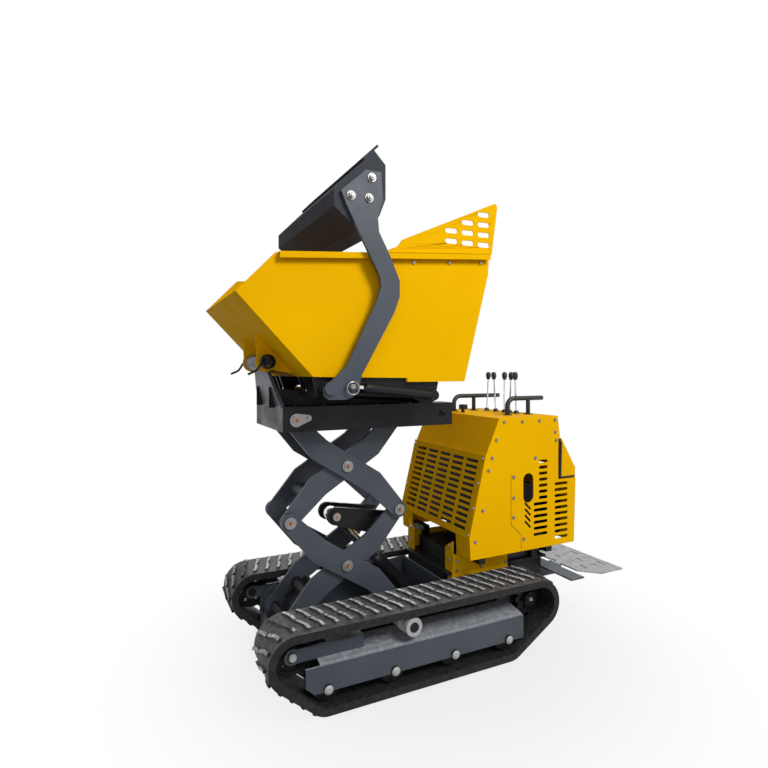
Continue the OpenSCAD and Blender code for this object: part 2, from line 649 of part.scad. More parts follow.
toe = [hinge_x - 150, hinge_z - 88];
toe_r = 12;
scoop_base = [hinge_x - 550, hinge_z - 118];
scoop_pin = [hinge_x - 223, hinge_z - 82];
scoop_y = 319;
tip_eye = [hinge_x - 150, hinge_z - 103];
frame_y = 280;
module tip_frame() placed() {
    color("#3f434d") {
        plates(frame_y, plate_t) {
            polygon([[scoop_base.x - 40, floor_rear.y], [floor_step.x, floor_rear.y], floor_step,
                [toe.x + 40, floor_at(toe.x + 40)], [toe.x + 30, toe.y - 24], [toe.x - 40, toe.y - 24],
                    [toe.x - 120, toe.y + 8],
                [scoop_base.x + 120, scoop_base.y + 12], [scoop_base.x + 30, scoop_base.y - 24],
                    [scoop_base.x - 24, scoop_base.y - 24]]);
        }
        // cross members under the floor
        plate(-frame_y, 2 * frame_y) translate([scoop_base.x + 20, floor_rear.y - 16]) square([70, 16]);
        plate(-frame_y, 2 * frame_y) polygon([[floor_step.x + 60, floor_at(floor_step.x + 60)],
            [floor_step.x + 60, floor_step.y - 24], [floor_step.x + 120, floor_step.y - 24],
            [floor_step.x + 120, floor_at(floor_step.x + 120)]]);
        // ears of the tipping cylinders
        for (s = [-1, 1], e = [-1, 1]) translate([0, s * tip_y + e * (tip_ear + 5), 0]) plate(-5, 10) {
            translate(tip_eye) circle(r = tip_pin_r + 10);
            polygon([tip_eye + [-21, 0], tip_eye + [0, -21], tip_eye + [21, 0], [tip_eye.x + 40,
                floor_at(tip_eye.x + 40)],
                [tip_eye.x - 40, floor_at(tip_eye.x - 40)]]);
        }
        // stubs for the shovel arms and for the bases of the shovel cylinders
        bars_y(toe.x, toe.y, toe_r + 8, frame_y + plate_t, 14);
        bars_y(toe.x, toe.y, toe_r, frame_y + plate_t, shovel_arm_y + shovel_arm_t + 4 - frame_y - plate_t);
        bars_y(scoop_base.x, scoop_base.y, 10, frame_y + plate_t, scoop_y + 12 - frame_y - plate_t);
    }
    color("#c9c9c6") bars_y(toe.x, toe.y, toe_r + 10, shovel_arm_y + shovel_arm_t + 4, 5);
}

// Shovel

function tz(x, z) = [hinge_x + x, hinge_z + z];
heel = tz(-166, 558);
edge = tz(-310, 706);
module shovel_arm(side) {
    color("#474d5a") mirrored(side) {
        difference() {
            plate(shovel_arm_y, shovel_arm_t) {
                polygon([tz(-337, 538), tz(-318, 480), tz(-322, 433), tz(-364, 356), tz(-400, 275),
                    tz(-400, 220), tz(-379, 165),
                    tz(-259, -46), tz(-250, -84), tz(-228, -118), tz(-205, -125), tz(-146, -125), tz(-130,
                        -113), tz(-127, -88),
                    tz(-170, -51), tz(-208, -12), tz(-311, 195),
                    tz(-330, 253), tz(-326, 283), tz(-204, 510), tz(-186, 552), tz(-274, 632), tz(-330,
                        632)]);
            }
            bar_y(toe.x, toe.y, toe_r + fit, 0, 400);
        }
        bar_y(scoop_pin.x, scoop_pin.y, 14, shovel_arm_y + shovel_arm_t, 10);
    }
}
module shovel_bucket() placed() {
    color("#474d5a") {
        // curved back and sloping floor plate
        plate(-shovel_arm_y + 2, 2 * (shovel_arm_y - 2)) {
            strip2d([tz(-264, 399), tz(-249, 437), tz(-166, 502), heel, edge], shovel_t);
        }
        // wear blade along the lip
        plate(-shovel_arm_y + 2, 2 * (shovel_arm_y - 2))
            strip2d([along(heel, edge, 0.76), along(heel, edge, 1.12)], -8);
        // side plates
        plates(shovel_arm_y - shovel_t, shovel_t)
            polygon([edge, heel, tz(-166, 502), tz(-249, 437), tz(-264, 399), tz(-329, 490), tz(-352,
                548), tz(-352, 664)]);
    }
}

// Hydraulic cylinders, each a barrel with a rod that slides in it

lift_r = 34;
lift_rod_r = 18;
lift_rod_out = 275;
tip_r = 20;
tip_rod_r = 12;
tip_rod_out = 70;
scoop_r = 14.5;
scoop_rod_r = 7.5;
scoop_rod_out = 67;
// Lays its children, drawn along +X from the base, on the line from a to b.
module aim(a, b) {
    translate([a.x, 0, a.y]) rotate([0, -atan2(b.y - a.y, b.x - a.x), 0]) children();
}
// Barrel of length len with an eye of radius eye and half width w round its base pin.
module barrel(r, rod_r, len, w, pin, eye, bored) {
    difference() {
        union() {
            translate([pin + 4, 0, 0]) rotate([0, 90, 0]) cylinder(h = len - pin - 4, r = r);
            translate([len - 24, 0, 0]) rotate([0, 90, 0]) cylinder(h = 30, r = r + 1.5);
            translate([0, w, 0]) rotate([90, 0, 0]) cylinder(h = 2 * w, r = eye);
        }
        translate([pin + 24, 0, 0]) rotate([0, 90, 0]) cylinder(h = len, r = rod_r + fit);
        if (bored) translate([0, w + 1, 0]) rotate([90, 0, 0]) cylinder(h = 2 * w + 2, r = pin + fit);
    }
}
// Rod from x0 to its eye at x1, the eye's pin reaching out to half width w.
module rod(r, x0, x1, eye_r, eye_w, w, pin) {
    translate([x0, 0, 0]) rotate([0, 90, 0]) cylinder(h = x1 - x0, r = r);
    translate([x1, eye_w, 0]) rotate([90, 0, 0]) cylinder(h = 2 * eye_w, r = eye_r);
    translate([x1, w, 0]) rotate([90, 0, 0]) cylinder(h = 2 * w, r = pin);
}
lift_len = norm(lever_pin - lift_base);
tip_len = norm(tip_eye - tip_base);
scoop_len = norm(scoop_pin - scoop_base);
module lift_barrel() placed() {
    color("#1d1d20") aim(lift_base, lever_pin) barrel(lift_r, lift_rod_r, lift_len - lift_rod_out,
        lift_ear_y - 2, lift_pin_r, lift_pin_r + 10, false);
    color("#c9c9c6") bar_y(lift_base.x, lift_base.y, lift_pin_r, -lift_ear_y - lift_ear_t - 4,
        2 * (lift_ear_y + lift_ear_t + 4));
}
module lift_rod() placed() {
    color("#c9c9c6") aim(lift_base, lever_pin) rod(lift_rod_r, lift_len - lift_rod_out - 28, lift_len, 26,
        24, lever_y + 1, 16);
}
module tip_barrels() placed() {
    for (s = [-1, 1]) translate([0, s * tip_y, 0]) {
        color("#1d1d20") aim(tip_base, tip_eye) barrel(tip_r, tip_rod_r, tip_len - tip_rod_out,
            tip_ear - 2, tip_pin_r, tip_pin_r + 7, false);
        color("#c9c9c6") bar_y(tip_base.x, tip_base.y, tip_pin_r, -tip_ear - 12, 2 * (tip_ear + 12));
    }
}
module tip_rods() placed() {
    color("#c9c9c6") for (s = [-1, 1]) translate([0, s * tip_y, 0])
        aim(tip_base, tip_eye) rod(tip_rod_r, tip_len - tip_rod_out - 130, tip_len, 18, 14, tip_ear - 1,
            10);
}
module shovel_barrels() placed() {
    for (s = [-1, 1]) translate([0, s * scoop_y, 0])
        color("#1d1d20") aim(scoop_base, scoop_pin) barrel(scoop_r, scoop_rod_r,
            scoop_len - scoop_rod_out, 12, 10, 18, true);
}
module shovel_rods() placed() {
    color("#c9c9c6") for (s = [-1, 1]) translate([0, s * scoop_y, 0]) {
        aim(scoop_base, scoop_pin) rod(scoop_rod_r, scoop_len - scoop_rod_out - 92, scoop_len, 13, 8, 7.5,
            9);
        bar_y(scoop_pin.x, scoop_pin.y, 8, s > 0 ? 0 : -14, 14);
    }
}

// Engine, hydraulics and hood

hood_front_low = [-227, hood_z];
grille_low = [-222, hood_z + 88];
grille_high = [-297, hood_top - 145];
top_front = [-364, hood_top];
top_rear = [-669, hood_top];
hatch_high = [-682, hood_top - 90];
hatch_low = [-771, hood_top - 237];
hood_rear_low = [-760, hood_z];
hood_outline = [hood_front_low, grille_low, grille_high, top_front, top_rear, hatch_high, hatch_low,
    hood_rear_low];
module engine() placed() {
    color("#33353a") {
        box(-650, -390, -150, 150, bed_top, bed_top + 300);
        bar_y(-560, bed_top + 170, 90, -210, 60);
    }
}
module hydraulic_tank() placed() {
    color("#26282d") box(-750, -700, -200, 200, hood_z + 8, hood_z + 200);
    color("#26282d") boxes(-750, bed_rear_x + 20, 90, 130, bed_top, hood_z + 8);
}
module valve_block() placed() {
    color("#1d1d20") {
        box(-360, -240, -140, 140, bed_top, bed_top + 60);
    }
}
// Rows of slots in a hood side, as [x, z, rows, length] of each column's top slot.
slot_pitch = 24.7;
slot_columns = [[-590, hood_z + 354, 7, 46], [-576, hood_z + 181, 6, 74], [-688, hood_z + 254, 10, 72]];
// Edge of a hood side's front panel, from its top to the lower edge of the hood.
seam = [[-424, hood_z + 311], [-424, hood_z + 113], [-475, hood_z + 66], [-475, hood_z - 1]];
cheek_x = -685;
cheek_z = hatch_low.y - 23;
module hood_side(side) {
    color("#f2b90c") mirrored(side) plate(hood_y - hood_t, hood_t) difference() {
        polygon(hood_outline);
        // corner that belongs to the rear cover
        polygon([[cheek_x + 13, hatch_high.y + 2], [cheek_x + 13, cheek_z - 6], [hatch_low.x - 60,
            cheek_z - 6],
            [hatch_low.x - 60, hatch_high.y + 2]]);
        translate([-511, hood_z + 251]) rotate(90) slot2d(119, 53);
        for (c = slot_columns, k = [0:c[2] - 1]) translate([c.x, c.y - k * slot_pitch]) slot2d(c[3], 13);
        for (k = [0:3]) translate([-508, hood_z + 178 - k * slot_pitch]) rotate(45) slot2d(44, 9);
        strip2d(seam, 2.5);
    }
}
module hood_shell() placed() {
    color("#f2b90c") {
        plate(-hood_y + hood_t, 2 * (hood_y - hood_t)) intersection() {
            polygon(hood_outline);
            union() {
                strip2d([grille_high, top_front, top_rear, hatch_high], hood_t);
                strip2d([hatch_low, hood_rear_low], hood_t);
            }
        }
        // narrow plates below the grille, one on each side
        plates(rail_y, hood_y - hood_t - rail_y) intersection() {
            polygon(hood_outline);
            strip2d([hood_front_low, grille_low], hood_t);
        }
        // hinge of the rear cover
        for (y0 = [148, -148 - hatch_knuckle]) {
            bar_y(hatch_pin.x, hatch_pin.y, 8, y0, hatch_knuckle);
            plate(y0, hatch_knuckle) polygon([hatch_pin + [-7, 0], hatch_pin + [7, 0], hatch_low + [1.5,
                -30], hatch_low + [-5, -30]]);
        }
        bars_y(hatch_pin.x, hatch_pin.y, hatch_pin_r, 148, 70);
    }
}
grille_rows = 12;
grille_cols = 5;
module hood_grille() placed() {
    d = grille_high - grille_low;
    long = norm(d);
    wide = 2 * (hood_y + 6);
    color("#f2b90c") translate([grille_low.x, 0, grille_low.y]) rotate([0, -atan2(d.y, d.x), 0])
        translate([0, 0, -gap]) mirror([0, 0, 1]) linear_extrude(hood_t) difference() {
            translate([-6, -wide / 2]) square([long + 12, wide]);
            for (i = [0:grille_rows - 1], j = [0:grille_cols - 1])
                translate([26 + i * (long - 52) / (grille_rows - 1), (j - 2) * wide / 5.6]) rotate(90)
                    slot2d(80, 12);
        }
}
module skirts() placed() {
    color("#f2b90c") plates(rail_y + gap, 5) polygon([[-206, hood_z - 50], [-204, bed_top - 50], [-481,
        bed_top - 54],
        [-476, hood_z - 46]]);
}
hatch_out = left_of(hatch_high, hatch_low) * -1;
hatch_pin = hatch_low + hatch_out * 9;
hatch_pin_r = 4;
hatch_knuckle = 30;
module rear_hatch() placed() {
    d = hatch_high - hatch_low;
    color("#f2b90c") difference() {
        union() {
            translate([hatch_low.x, 0, hatch_low.y]) rotate([0, -atan2(d.y, d.x), 0])
                translate([9, -hood_y, 0]) cube([norm(d) - 16, 2 * hood_y, hood_t]);
            // cheeks round the hood's corners
            plates(hood_y - hood_t + 1, hood_t - 1) polygon([along(hatch_low, hatch_high, 0.93) + hatch_out,
                along(hatch_low, hatch_high, 0.07) + hatch_out, [hatch_low.x + 4, cheek_z], [cheek_x,
                    cheek_z]]);
            for (y0 = [180, -180 - hatch_knuckle]) {
                bar_y(hatch_pin.x, hatch_pin.y, 8, y0, hatch_knuckle);
                plate(y0, hatch_knuckle) strip2d([along(hatch_low, hatch_high, 0.12), along(hatch_low,
                    hatch_high, 0)], -hood_t);
            }
        }
        bar_y(hatch_pin.x, hatch_pin.y, hatch_pin_r + fit, -300, 600);
    }
}
rail_r = 10;
rail_bend = 34;
rail_up = 70;
// Bent pipe from its front foot at x, with a second foot behind and a free rear end.
module grab_rail(x, foot, end, y) {
    translate([x, y, hood_top]) {
        cylinder(h = rail_up - rail_bend, r = rail_r);
        translate([-rail_bend, 0, rail_up - rail_bend]) rotate([90, 0, 0]) rotate_extrude(angle = 90)
            translate([rail_bend, 0]) circle(r = rail_r);
        translate([-end, 0, rail_up]) rotate([0, 90, 0]) cylinder(h = end - rail_bend, r = rail_r);
        translate([-foot, 0, 0]) cylinder(h = rail_up, r = rail_r - 1);
    }
}
module grab_rails() placed() {
    color("#1d1d20") {
        grab_rail(-502, 112, 190, 150);
        grab_rail(-432, 112, 260, -150);
    }
}
// Levers as [y, lean to the rear, lean to the left].
levers = [[-110, 2, -2], [-42, -3, 1], [20, 3, 3], [56, 0, -4], [102, -2, 0]];
lever_len = 150;
module control_levers() placed() {
    for (v = levers) translate([-590, v[0], hood_top]) {
        color("#1d1d20") cylinder(h = 14, r1 = 15, r2 = 8);
        rotate([v[2], -v[1], 0]) {
            color("#c9c9c6") translate([0, 0, 4]) cylinder(h = lever_len - 4, r = 4);
            color("#1d1d20") translate([0, 0, lever_len]) rotate_extrude()
                polygon([[0, -2], [7, -2], [12, 14], [11, 27], [6, 33], [0, 33]]);
        }
    }
}
module console_knob() placed() {
    color("#1d1d20") translate([-420, -60, hood_top]) {
        cylinder(h = 18, r = 8);
        translate([0, 0, 16]) linear_extrude(20) {
            circle(r = 13);
            for (a = [0:72:288]) rotate(a) translate([14, 0]) circle(r = 7);
        }
    }
}

// Operator's step

step_hinge_x = -784;
step_front_x = -690;
step_pin = [step_hinge_x, step_z - 12];
step_pin_r = 6;
step_cut = 70;
module step_bracket() placed() {
    color("#3f434d") {
        boxes(step_hinge_x - 10, bed_rear_x, 100, 130, step_z - step_t - 50, step_z - step_t);
        box(step_hinge_x + 22, step_front_x, -step_y, step_y, step_z - step_t, step_z);
        boxes(bed_rear_x - 8, bed_rear_x, 100, 130, step_z - step_t, bed_top - gap);
    }
    color("#c9c9c6") bars_y(step_pin.x, step_pin.y, step_pin_r, 96, 70);
}
module step_plate() placed() {
    color("#b9bcbc") difference() {
        union() {
            translate([0, 0, step_z - step_t]) linear_extrude(step_t) polygon([[step_rear_x, -step_y],
                [step_rear_x, step_y],
                [step_hinge_x - 8 - step_cut, step_y], [step_hinge_x - 8, step_y - step_cut],
                [step_hinge_x - 8, step_cut - step_y], [step_hinge_x - 8 - step_cut, -step_y]]);
            for (y0 = [132, -160]) {
                bar_y(step_pin.x, step_pin.y, 12, y0, 28);
                box(step_pin.x - 40, step_pin.x, y0, y0 + 28, step_pin.y, step_z);
            }
        }
        bar_y(step_pin.x, step_pin.y, step_pin_r + fit, -200, 400);
        for (i = [0:2], j = [-3:3]) translate([step_rear_x + 36 + i * 52, j * 80, step_z - 20])
            linear_extrude(40) rotate(90 * ((i + j + 8) % 2)) slot2d(46, 7);
        boxes(step_hinge_x - 14, step_hinge_x - 4, 98, 131, 0, step_z + 1);
    }
}

// Left and right pieces

module track_left() placed() track(1);
module track_right() placed() track(-1);
module track_frame_left() placed() track_frame(1);
module track_frame_right() placed() track_frame(-1);
module sprocket_left() placed() sprocket(1);
module sprocket_right() placed() sprocket(-1);
module idler_left() placed() idler(1);
module idler_right() placed() idler(-1);
module rollers_left() placed() rollers(1);
module rollers_right() placed() rollers(-1);
module hood_left() placed() hood_side(1);
module hood_right() placed() hood_side(-1);
module shovel_arm_left() placed() shovel_arm(1);
module shovel_arm_right() placed() shovel_arm(-1);

// What is drawn

chassis_frame();
chassis_pan();
track_left();
track_right();
track_frame_left();
track_frame_right();
sprocket_left();
sprocket_right();
idler_left();
idler_right();
rollers_left();
rollers_right();
engine_bed();
engine();
hydraulic_tank();
valve_block();
hood_left();
hood_right();
hood_shell();
hood_grille();
skirts();
rear_hatch();
grab_rails();
control_levers();
console_knob();
step_bracket();
step_plate();
lower_inner_arms();
lower_outer_arms();
upper_outer_arms();
upper_inner_arms();
deck_frame();
skip_tub();
skip_guard();
tip_frame();
shovel_arm_left();
shovel_arm_right();
shovel_bucket();
lift_barrel();
lift_rod();
tip_barrels();
tip_rods();
shovel_barrels();
shovel_rods();
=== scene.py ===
import math

import bmesh
import bpy
from mathutils import Matrix, Vector


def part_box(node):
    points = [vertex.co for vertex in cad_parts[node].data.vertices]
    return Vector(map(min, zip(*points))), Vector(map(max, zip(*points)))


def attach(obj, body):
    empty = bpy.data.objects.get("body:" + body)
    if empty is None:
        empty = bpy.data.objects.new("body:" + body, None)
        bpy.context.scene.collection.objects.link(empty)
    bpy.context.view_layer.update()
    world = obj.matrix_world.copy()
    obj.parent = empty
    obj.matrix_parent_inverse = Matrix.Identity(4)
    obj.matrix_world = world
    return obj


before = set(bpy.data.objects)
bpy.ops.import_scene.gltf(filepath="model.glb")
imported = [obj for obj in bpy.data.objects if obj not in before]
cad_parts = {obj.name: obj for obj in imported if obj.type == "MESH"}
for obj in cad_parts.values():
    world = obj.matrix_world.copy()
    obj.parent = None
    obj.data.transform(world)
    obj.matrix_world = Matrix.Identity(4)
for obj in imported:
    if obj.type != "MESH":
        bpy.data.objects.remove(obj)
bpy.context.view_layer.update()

# The photographer's place
# A level camera on the machine's left, ahead of its middle, at the height of the control levers.
# It looks across the machine, some degrees off its side, and the horizon lies a little above the
# picture's middle; the picture's sizes are in pixels.
picture_wide, focal_length, horizon = 768, 538, 12
off_the_side = 26.3
camera = bpy.data.objects.new("camera", bpy.data.cameras.new("camera"))
bpy.context.scene.collection.objects.link(camera)
camera.location = (1.1434, 1.96445, 1.0928)
camera.rotation_euler = (math.radians(90), 0, math.radians(180 - off_the_side))
camera.data.sensor_width = 36
camera.data.lens = camera.data.sensor_width * focal_length / picture_wide
camera.data.shift_y = -horizon / picture_wide
camera.data.clip_start, camera.data.clip_end = 0.05, 60
bpy.context.scene.camera = camera

# The studio
# A pale floor that fades into white. A broad key lamp stands high on the left, a weak fill ahead, and
# one lamp on the far side. The camera and mirrors see white: what lights the machine is a softer grey.


class Shader:
    """Shader maths: a socket that multiplies and mixes like a number, and adds any node to its tree."""

    def __init__(self, tree, socket=None):
        self.tree, self.socket = tree, socket

    def node(self, kind, settings=None, **sockets):
        """Adds a node; i0 and i1 name a socket by its number, From_Min by its name."""
        n = self.tree.nodes.new(kind)
        for key, value in (settings or {}).items():
            setattr(n, key, value)
        for key, value in sockets.items():
            numbered = key[0] == "i" and key[1:].isdigit()
            socket = n.inputs[int(key[1:])] if numbered else n.inputs[key.replace("_", " ")]
            if isinstance(value, Shader):
                self.tree.links.new(value.socket, socket)
            else:
                socket.default_value = value
        return n

    def out(self, kind, output, settings=None, **sockets):
        return Shader(self.tree, self.node(kind, settings, **sockets).outputs[output])

    def math(self, op, a, b):
        return self.out("ShaderNodeMath", 0, {"operation": op}, i0=a, i1=b)

    def __mul__(self, other):
        return self.math("MULTIPLY", self, other)

    __rmul__ = __mul__

    def between(self, low, high, to_low=0.0, to_high=1.0):
        return self.out("ShaderNodeMapRange", 0, {"interpolation_type": "SMOOTHSTEP"}, Value=self,
                        From_Min=low, From_Max=high, To_Min=to_low, To_Max=to_high)

    def mix(self, a, b):
        return self.out("ShaderNodeMix", 2, {"data_type": "RGBA"}, i0=self, i6=(*a, 1), i7=(*b, 1))

    def where(self):
        return self.out("ShaderNodeTexCoord", "Object")

    def noise(self, scale, detail=4.0):
        return self.out("ShaderNodeTexNoise", 0, Vector=self.where(), Scale=scale, Detail=detail,
                        Roughness=0.55)

    def looked_at(self):
        """1 for what the camera sees, also in a mirror or through glass; 0 for what lights other things."""
        rays = self.node("ShaderNodeLightPath")
        kinds = ("Camera", "Glossy", "Transmission")
        eye, mirror, glass = (Shader(self.tree, rays.outputs["Is %s Ray" % kind]) for kind in kinds)
        return self.math("MAXIMUM", eye, self.math("MAXIMUM", mirror, glass))


def material(name, colour, rough, metal=0.0, spec=0.5):
    """A surface with one colour; returns it with the maths of its tree."""
    m = bpy.data.materials.new(name)
    m.use_nodes = True
    m.diffuse_color = (*colour, 1)
    surface = m.node_tree.nodes["Principled BSDF"]
    surface.inputs["Base Color"].default_value = (*colour, 1)
    surface.inputs["Roughness"].default_value = rough
    surface.inputs["Metallic"].default_value = metal
    surface.inputs["Specular IOR Level"].default_value = spec
    return m, Shader(m.node_tree)


def link(value, name):
    """Feeds a value that varies to an input of its own surface."""
    value.tree.links.new(value.socket, value.tree.nodes["Principled BSDF"].inputs[name])


reach = 30
floor_mesh = bpy.data.meshes.new("floor")
floor_corners = [(-reach, -reach, 0), (reach, -reach, 0), (reach, reach, 0), (-reach, reach, 0)]
floor_mesh.from_pydata(floor_corners, [], [(0, 1, 2, 3)])
floor = bpy.data.objects.new("floor", floor_mesh)
bpy.context.scene.collection.objects.link(floor)
floor_mat, ground = material("studio floor", (0.33, 0.33, 0.33), 0.9)
floor_mesh.materials.append(floor_mat)
away = ground.out("ShaderNodeVectorMath", "Value", {"operation": "LENGTH"}, i0=ground.where())
seen = ground.looked_at() * away.between(0.4, 1.3, 0.80, 1.0)
bright = ground.out("ShaderNodeEmission", 0, Color=(1, 1, 1, 1), Strength=1.0)
matt = Shader(ground.tree, ground.tree.nodes["Principled BSDF"].outputs[0])
fade = ground.node("ShaderNodeMixShader", i0=seen, i1=matt, i2=bright)
ground.tree.links.new(fade.outputs[0], ground.tree.nodes["Material Output"].inputs[0])
world = bpy.data.worlds.new("studio")
bpy.context.scene.world = world
world.use_nodes = True
sky = Shader(world.node_tree)
white = sky.out("ShaderNodeBackground", 0, Color=(1, 1, 1, 1), Strength=1.0)
grey = sky.out("ShaderNodeBackground", 0, Color=(0.94, 0.97, 1.0, 1), Strength=0.34)
backdrop = sky.node("ShaderNodeMixShader", i0=sky.looked_at(), i1=grey, i2=white)
sky.tree.links.new(backdrop.outputs[0], sky.tree.nodes["World Output"].inputs[0])
for name, place, aim, size, watts in (
        ("key", (-1.3, 3.9, 4.4), (0, 0, 0.8), 1.8, 222),
        ("fill", (2.4, 3.6, 2.0), (0, 0, 0.7), 2.5, 14),
        ("far side", (-1.0, -4.4, 1.8), (0, 0, 0.8), 2.0, 60)):
    lamp = bpy.data.objects.new(name, bpy.data.lights.new(name, "AREA"))
    bpy.context.scene.collection.objects.link(lamp)
    lamp.data.size = size
    lamp.data.energy = watts
    lamp.location = place
    lamp.rotation_euler = (Vector(aim) - Vector(place)).to_track_quat("-Z", "Y").to_euler()
bpy.context.scene.view_settings.view_transform = "Standard"

# Tracks and wheels
# Moulded black rubber belts run round painted steel idlers, sprockets and rollers. The lugs' outer faces
# are paler, worn and given a painted highlight; their flanks and the belt's top are a lighter grey. The
# carrier roller between belt and beam is light.
rubber, grain = material("track rubber", (0.012, 0.012, 0.013), 0.62, spec=0.25)
link(grain.noise(60.0).between(0.35, 0.75).mix((0.008, 0.008, 0.009), (0.024, 0.024, 0.025)), "Base Color")
# Paler outer faces of the lugs: wear together with a painted highlight.
worn_highlit, grain = material("worn rubber", (0.30, 0.30, 0.305), 0.55)
link(grain.noise(85.0).between(0.35, 0.65).mix((0.20, 0.20, 0.202), (0.66, 0.66, 0.665)), "Base Color")
# A lighter grey on the lugs' flanks and on the belt's top.
paler, grain = material("dusted rubber", (0.06, 0.06, 0.06), 0.7)
link(grain.noise(45.0, 6.0).between(0.3, 0.7).mix((0.034, 0.034, 0.035), (0.11, 0.108, 0.105)), "Base Color")
black, grain = material("black paint", (0.008, 0.008, 0.009), 0.42, spec=0.2)
link(grain.noise(22.0).between(0.3, 0.7, 0.36, 0.52), "Roughness")
pale, _ = material("light grey steel", (0.42, 0.42, 0.41), 0.45)


def dress(names, mats, edge=0.0012, which=None, sheet=False):
    """Gives CAD pieces their surfaces and softens their edges.

    which(centre, normal) numbers the surface of a face. The large faces of a sheet keep a plain
    shading up to their rounded edges.
    """
    for n in names.split():
        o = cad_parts[n]
        o.data.materials.clear()
        for m in mats:
            o.data.materials.append(m)
        if which:
            turn = o.matrix_world.to_3x3()
            for face in o.data.polygons:
                face.material_index = int(which(o.matrix_world @ face.center, turn @ face.normal))
        o.modifiers.new("weld", "WELD").merge_threshold = 0.00002
        bevel = o.modifiers.new("soft edges", "BEVEL")
        bevel.width, bevel.segments = edge, 2
        bevel.limit_method, bevel.angle_limit = "ANGLE", math.radians(40)
        if sheet:
            o.modifiers.new("flat faces", "WEIGHTED_NORMAL").weight = 90


def station(x):
    """A place along the machine from its distance ahead of the middle between the axles, in millimetres."""
    return (x + 164.5) / 1000


wheel_x, wheel_z = 487, 193
idler_low, idler_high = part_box("idler_left")
idler_x, axle_z = (idler_low.x + idler_high.x) / 2, (idler_low.z + idler_high.z) / 2
sprocket_x = station(-wheel_x)
lug_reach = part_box("track_left")[1].z - axle_z - 0.002
lug_root = lug_reach - 0.013


def wear_and_highlight(c, n):
    """1: a lug's outer face, worn with a painted highlight; 2: its paler flanks and the belt's top; 0
    elsewhere.
    """
    high = c.z - axle_z
    if n.z > 0.9 and high > 0:
        return 1 if high > lug_reach else 2
    if high > lug_root:
        return 2
    ahead = c.x > 0
    arm = Vector((c.x - (idler_x if ahead else sprocket_x), 0, high))
    outward = arm.x if ahead else -arm.x
    if outward > -0.09 and abs(n.y) < 0.3 and arm.dot(n) > lug_reach and arm.normalized().dot(n) > 0.6:
        return 1
    return 2 if outward > 0 and high > -0.05 and abs(n.y) < 0.5 and arm.length > lug_root else 0


def pale_steel(c, n):
    """The carrier roller, and the outer ends of the rollers' axles."""
    return c.z > 0.18 or abs(c.y) > 0.3552


dress("track_left track_right", [rubber, worn_highlit, paler], 0.0015, wear_and_highlight)
dress("idler_left idler_right sprocket_left sprocket_right", [black])
dress("rollers_left rollers_right", [black, pale], which=pale_steel)

# Track beams
# Folded slate beams whose sloping top is a lighter grey. A domed head closes each roller's axle, a ring
# of bolts holds the drive, and the carrier roller's hub stands out from its rim, with a dark bore.
slate, grain = material("slate paint", (0.064, 0.069, 0.082), 0.42, spec=0.3)
link(grain.noise(14.0).between(0.3, 0.7, 0.36, 0.5), "Roughness")
tint = grain.noise(5.0, 6.0).between(0.35, 0.70)
link(tint.mix((0.055, 0.063, 0.080), (0.068, 0.077, 0.096)), "Base Color")
# A lighter grey for the beams' sloping top.
lighter_top, grain = material("dusty slate", (0.26, 0.27, 0.29), 0.6)
link(grain.noise(55.0, 7.0).between(0.35, 0.68).mix((0.19, 0.20, 0.22), (0.30, 0.315, 0.34)), "Base Color")
zinc, grain = material("zinc plate", (0.27, 0.265, 0.255), 0.30, metal=0.9)
link(grain.noise(130.0).between(0.3, 0.7, 0.26, 0.46), "Roughness")


def sloping_top(c, n):
    """The upper face of a beam."""
    return n.z > 0.75 and 0.15 < c.z < 0.19


def at(x, y, z):
    """A point from its station, its distance to the left and its height, in millimetres."""
    return Vector((station(x), y / 1000, z / 1000))


def stud(bm, place, out, radius, high, sides=6, taper=1.0, slot=0):
    """Adds a head that stands on a face at place and points along out; sizes are in millimetres."""
    sunk = 0.6
    turn = Vector(out).to_track_quat("Z", "Y").to_matrix().to_4x4()
    spot = Matrix.Translation(at(*place)) @ turn @ Matrix.Translation((0, 0, (high - sunk) / 2000))
    made = bmesh.ops.create_cone(bm, cap_ends=True, segments=sides, radius1=radius / 1000,
                                 radius2=radius * taper / 1000, depth=(high + sunk) / 1000, matrix=spot)
    for face in {face for v in made["verts"] for face in v.link_faces}:
        face.material_index = slot


def piece(name, bm, mats, body):
    """Makes an object of a mesh that is already in its place, and lets it ride on a body."""
    mesh = bpy.data.meshes.new(name)
    bmesh.ops.recalc_face_normals(bm, faces=bm.faces)
    bm.to_mesh(mesh)
    bm.free()
    for m in mats:
        mesh.materials.append(m)
    for face in mesh.polygons:
        face.use_smooth = True
    mesh.set_sharp_from_angle(angle=math.radians(38))
    o = bpy.data.objects.new(name, mesh)
    bpy.context.scene.collection.objects.link(o)
    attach(o, body)


